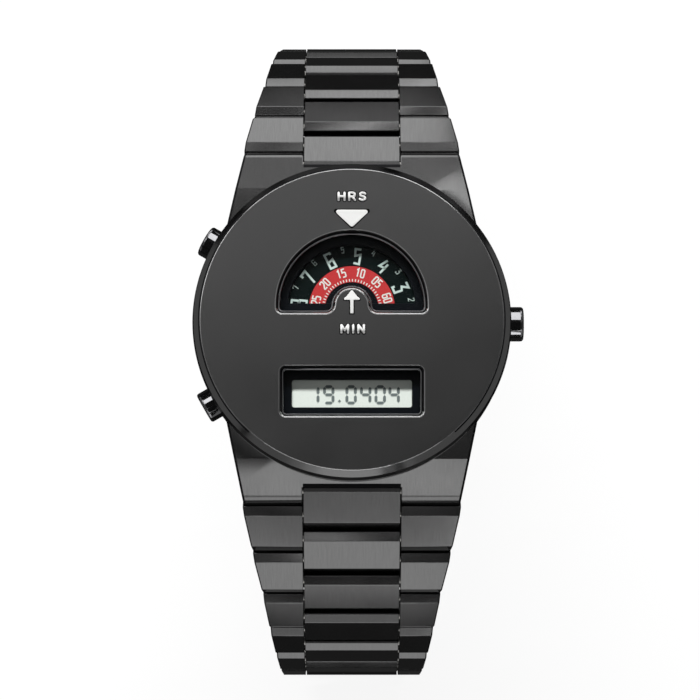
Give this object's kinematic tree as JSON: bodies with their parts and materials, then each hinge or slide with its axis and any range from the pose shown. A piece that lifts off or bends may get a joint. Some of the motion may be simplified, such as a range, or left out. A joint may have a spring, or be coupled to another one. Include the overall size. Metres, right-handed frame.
{
  "type": "digital watch",
  "caption": "Round wristwatch with rotating hour and minute discs, a digital display, a crown, two pushers and a linked steel bracelet with a press-in clasp.",
  "frame": {"origin": "centre of the case back's flat outer face, where the watch rests on the wrist", "axes": "+Z out of the dial, +Y towards twelve o'clock, +X towards the crown at three o'clock"},
  "size_m": [0.0416, 0.0858, 0.0635],
  "materials": {
    "satin_steel": "gunmetal plated, satin brushed",
    "dark_polished_steel": "black plated, polished",
    "bright_steel": "turned",
    "window_glass": "clear mineral glass",
    "black_plastic": "matte",
    "gasket_rubber": "moulded",
    "movement_brass": "fine blasted",
    "circuit_green": "solder mask",
    "copper_wire": "enamelled copper winding",
    "display_grey": "reflective liquid crystal",
    "carrier_white": "moulded",
    "contact_rubber": "striped conductive rubber",
    "mark_white": "matte white print, raised",
    "hour_disc_black": "matte black with white numerals",
    "minute_disc_red": "matte red with white numerals"
  },
  "bodies": {
    "case": {"case_middle": "satin_steel", "front_plate": "satin_steel", "dial_window": "window_glass", "display_window": "window_glass", "dial_mask": "black_plastic", "case_back": "satin_steel", "case_back_gasket": "gasket_rubber", "case_back_screws": "bright_steel", "movement_holder": "black_plastic", "movement_plate": "movement_brass", "circuit_board": "circuit_green", "battery": "bright_steel", "battery_clip": "bright_steel", "motor_coil": "copper_wire", "motor_core": "bright_steel", "quartz_crystal": "bright_steel", "display_panel": "display_grey", "display_carrier": "carrier_white", "contact_strips": "contact_rubber", "contact_springs": "movement_brass", "hour_mark": "mark_white", "minute_mark": "mark_white", "crown_tube": "bright_steel", "pusher_springs": "bright_steel", "lug_pins": "bright_steel"},
    "hour_disc": {"hour_disc": "hour_disc_black"},
    "minute_disc": {"minute_disc": "minute_disc_red"},
    "intermediate_wheel": {"intermediate_wheel": "movement_brass"},
    "stem_yoke": {"stem_yoke": "movement_brass"},
    "crown": {"crown": "dark_polished_steel", "crown_stem": "bright_steel"},
    "upper_pusher": {"upper_pusher": "dark_polished_steel", "upper_pusher_clip": "bright_steel"},
    "lower_pusher": {"lower_pusher": "dark_polished_steel", "lower_pusher_clip": "bright_steel"},
    "upper_link_1": {"upper_link_1": "satin_steel"},
    "upper_link_2": {"upper_link_2": "satin_steel"},
    "upper_link_3": {"upper_link_3": "satin_steel"},
    "upper_link_4": {"upper_link_4": "satin_steel"},
    "upper_link_5": {"upper_link_5": "satin_steel"},
    "upper_link_6": {"upper_link_6": "satin_steel"},
    "upper_link_7": {"upper_link_7": "satin_steel"},
    "upper_link_8": {"upper_link_8": "satin_steel"},
    "upper_link_9": {"upper_link_9": "satin_steel"},
    "upper_link_10": {"upper_link_10": "satin_steel"},
    "clasp_tongue": {"clasp_tongue": "satin_steel"},
    "lower_link_1": {"lower_link_1": "satin_steel"},
    "lower_link_2": {"lower_link_2": "satin_steel"},
    "lower_link_3": {"lower_link_3": "satin_steel"},
    "lower_link_4": {"lower_link_4": "satin_steel"},
    "lower_link_5": {"lower_link_5": "satin_steel"},
    "lower_link_6": {"lower_link_6": "satin_steel"},
    "lower_link_7": {"lower_link_7": "satin_steel"},
    "lower_link_8": {"lower_link_8": "satin_steel"},
    "lower_link_9": {"lower_link_9": "satin_steel"},
    "clasp_cover": {"clasp_cover": "satin_steel", "button_spring": "bright_steel"},
    "left_clasp_button": {"left_clasp_button": "dark_polished_steel"},
    "right_clasp_button": {"right_clasp_button": "dark_polished_steel"}
  },
  "joints": [
    {"name": "bracelet_open", "type": "hinge", "parent": "case", "child": "upper_link_1", "pos_m": [0, 0.02075, 0.0037], "axis": [1, 0, 0], "range_deg": [0, 34]},
    {"name": "upper_hinge_2", "type": "hinge", "parent": "upper_link_1", "child": "upper_link_2", "pos_m": [0, 0.02647, -0.00016], "axis": [1, 0, 0], "range_deg": [-1, 10]},
    {"name": "upper_hinge_3", "type": "hinge", "parent": "upper_link_2", "child": "upper_link_3", "pos_m": [0, 0.03152, -0.00486], "axis": [1, 0, 0], "range_deg": [-1, 9.5]},
    {"name": "upper_hinge_4", "type": "hinge", "parent": "upper_link_3", "child": "upper_link_4", "pos_m": [0, 0.03581, -0.01026], "axis": [1, 0, 0], "range_deg": [-1, 12.5]},
    {"name": "upper_hinge_5", "type": "hinge", "parent": "upper_link_4", "child": "upper_link_5", "pos_m": [0, 0.03894, -0.01641], "axis": [1, 0, 0], "range_deg": [-1, 12]},
    {"name": "upper_hinge_6", "type": "hinge", "parent": "upper_link_5", "child": "upper_link_6", "pos_m": [0, 0.04085, -0.02304], "axis": [1, 0, 0], "range_deg": [-1, 12]},
    {"name": "upper_hinge_7", "type": "hinge", "parent": "upper_link_6", "child": "upper_link_7", "pos_m": [0, 0.04145, -0.02992], "axis": [1, 0, 0], "range_deg": [-1, 20]},
    {"name": "upper_hinge_8", "type": "hinge", "parent": "upper_link_7", "child": "upper_link_8", "pos_m": [0, 0.03978, -0.03661], "axis": [1, 0, 0], "range_deg": [-1, 24]},
    {"name": "upper_hinge_9", "type": "hinge", "parent": "upper_link_8", "child": "upper_link_9", "pos_m": [0, 0.03563, -0.04212], "axis": [1, 0, 0], "range_deg": [-1, 22]},
    {"name": "upper_hinge_10", "type": "hinge", "parent": "upper_link_9", "child": "upper_link_10", "pos_m": [0, 0.02977, -0.04578], "axis": [1, 0, 0], "range_deg": [-1, 19.72]},
    {"name": "tongue_hinge", "type": "hinge", "parent": "upper_link_10", "child": "clasp_tongue", "pos_m": [0, 0.02306, -0.04737], "axis": [1, 0, 0], "range_deg": [-2.72, 1]},
    {"name": "lower_hinge_1", "type": "hinge", "parent": "case", "child": "lower_link_1", "pos_m": [0, -0.02075, 0.0037], "axis": [-1, 0, 0], "range_deg": [-1, 35]},
    {"name": "lower_hinge_2", "type": "hinge", "parent": "lower_link_1", "child": "lower_link_2", "pos_m": [0, -0.02647, -0.00016], "axis": [-1, 0, 0], "range_deg": [-1, 10]},
    {"name": "lower_hinge_3", "type": "hinge", "parent": "lower_link_2", "child": "lower_link_3", "pos_m": [0, -0.03152, -0.00486], "axis": [-1, 0, 0], "range_deg": [-1, 9.5]},
    {"name": "lower_hinge_4", "type": "hinge", "parent": "lower_link_3", "child": "lower_link_4", "pos_m": [0, -0.03581, -0.01026], "axis": [-1, 0, 0], "range_deg": [-1, 12.5]},
    {"name": "lower_hinge_5", "type": "hinge", "parent": "lower_link_4", "child": "lower_link_5", "pos_m": [0, -0.03894, -0.01641], "axis": [-1, 0, 0], "range_deg": [-1, 12]},
    {"name": "lower_hinge_6", "type": "hinge", "parent": "lower_link_5", "child": "lower_link_6", "pos_m": [0, -0.04085, -0.02304], "axis": [-1, 0, 0], "range_deg": [-1, 12]},
    {"name": "lower_hinge_7", "type": "hinge", "parent": "lower_link_6", "child": "lower_link_7", "pos_m": [0, -0.04145, -0.02992], "axis": [-1, 0, 0], "range_deg": [-1, 16]},
    {"name": "lower_hinge_8", "type": "hinge", "parent": "lower_link_7", "child": "lower_link_8", "pos_m": [0, -0.04025, -0.03671], "axis": [-1, 0, 0], "range_deg": [-1, 20]},
    {"name": "lower_hinge_9", "type": "hinge", "parent": "lower_link_8", "child": "lower_link_9", "pos_m": [0, -0.0369, -0.04275], "axis": [-1, 0, 0], "range_deg": [-1, 20]},
    {"name": "clasp_hinge", "type": "hinge", "parent": "lower_link_9", "child": "clasp_cover", "pos_m": [0, -0.03178, -0.04737], "axis": [-1, 0, 0], "range_deg": [-1, 28]},
    {"name": "minute_disc_turn", "type": "hinge", "parent": "case", "child": "minute_disc", "pos_m": [0, 0.0017, 0.008], "axis": [0, 0, 1], "continuous": true},
    {"name": "intermediate_wheel_turn", "type": "hinge", "parent": "case", "child": "intermediate_wheel", "pos_m": [-0.004, 0.0017, 0.0073], "axis": [0, 0, 1], "continuous": true},
    {"name": "hour_disc_turn", "type": "hinge", "parent": "case", "child": "hour_disc", "pos_m": [0, 0.0017, 0.0077], "axis": [0, 0, 1], "continuous": true},
    {"name": "crown_pull", "type": "slide", "parent": "case", "child": "stem_yoke", "axis": [1, 0, 0], "range_m": [0, 0.001]},
    {"name": "crown_turn", "type": "hinge", "parent": "stem_yoke", "child": "crown", "pos_m": [0.02, 0, 0.006], "axis": [1, 0, 0], "continuous": true},
    {"name": "upper_pusher_press", "type": "slide", "parent": "case", "child": "upper_pusher", "axis": [0.866, -0.5, 0], "range_m": [0, 0.0008], "stiffness_N_per_m": 600, "springref_m": -0.001},
    {"name": "lower_pusher_press", "type": "slide", "parent": "case", "child": "lower_pusher", "axis": [0.866, 0.5, 0], "range_m": [0, 0.0008], "stiffness_N_per_m": 600, "springref_m": -0.001},
    {"name": "left_clasp_button_press", "type": "slide", "parent": "clasp_cover", "child": "left_clasp_button", "axis": [1, 0, 0], "range_m": [0, 0.0005], "stiffness_N_per_m": 600, "springref_m": -0.001},
    {"name": "right_clasp_button_press", "type": "slide", "parent": "clasp_cover", "child": "right_clasp_button", "axis": [-1, 0, 0], "range_m": [0, 0.0005], "stiffness_N_per_m": 600, "springref_m": -0.001}
  ],
  "couplings": [
    {"joint": "upper_hinge_2", "follows": "bracelet_open", "ratio": 0.26471},
    {"joint": "upper_hinge_3", "follows": "bracelet_open", "ratio": 0.25},
    {"joint": "upper_hinge_4", "follows": "bracelet_open", "ratio": 0.33824},
    {"joint": "upper_hinge_5", "follows": "bracelet_open", "ratio": 0.32353},
    {"joint": "upper_hinge_6", "follows": "bracelet_open", "ratio": 0.32353},
    {"joint": "upper_hinge_7", "follows": "bracelet_open", "ratio": 0.55882},
    {"joint": "upper_hinge_8", "follows": "bracelet_open", "ratio": 0.67647},
    {"joint": "upper_hinge_9", "follows": "bracelet_open", "ratio": 0.61765},
    {"joint": "upper_hinge_10", "follows": "bracelet_open", "ratio": 0.55059},
    {"joint": "tongue_hinge", "follows": "bracelet_open", "ratio": -0.050592},
    {"joint": "lower_hinge_1", "follows": "bracelet_open", "ratio": 1},
    {"joint": "lower_hinge_2", "follows": "bracelet_open", "ratio": 0.26471},
    {"joint": "lower_hinge_3", "follows": "bracelet_open", "ratio": 0.25},
    {"joint": "lower_hinge_4", "follows": "bracelet_open", "ratio": 0.33824},
    {"joint": "lower_hinge_5", "follows": "bracelet_open", "ratio": 0.32353},
    {"joint": "lower_hinge_6", "follows": "bracelet_open", "ratio": 0.32353},
    {"joint": "lower_hinge_7", "follows": "bracelet_open", "ratio": 0.44118},
    {"joint": "lower_hinge_8", "follows": "bracelet_open", "ratio": 0.55882},
    {"joint": "lower_hinge_9", "follows": "bracelet_open", "ratio": 0.55882},
    {"joint": "clasp_hinge", "follows": "bracelet_open", "ratio": 0.79412},
    {"joint": "intermediate_wheel_turn", "follows": "minute_disc_turn", "ratio": -0.33333},
    {"joint": "hour_disc_turn", "follows": "minute_disc_turn", "ratio": 0.083333}
  ]
}
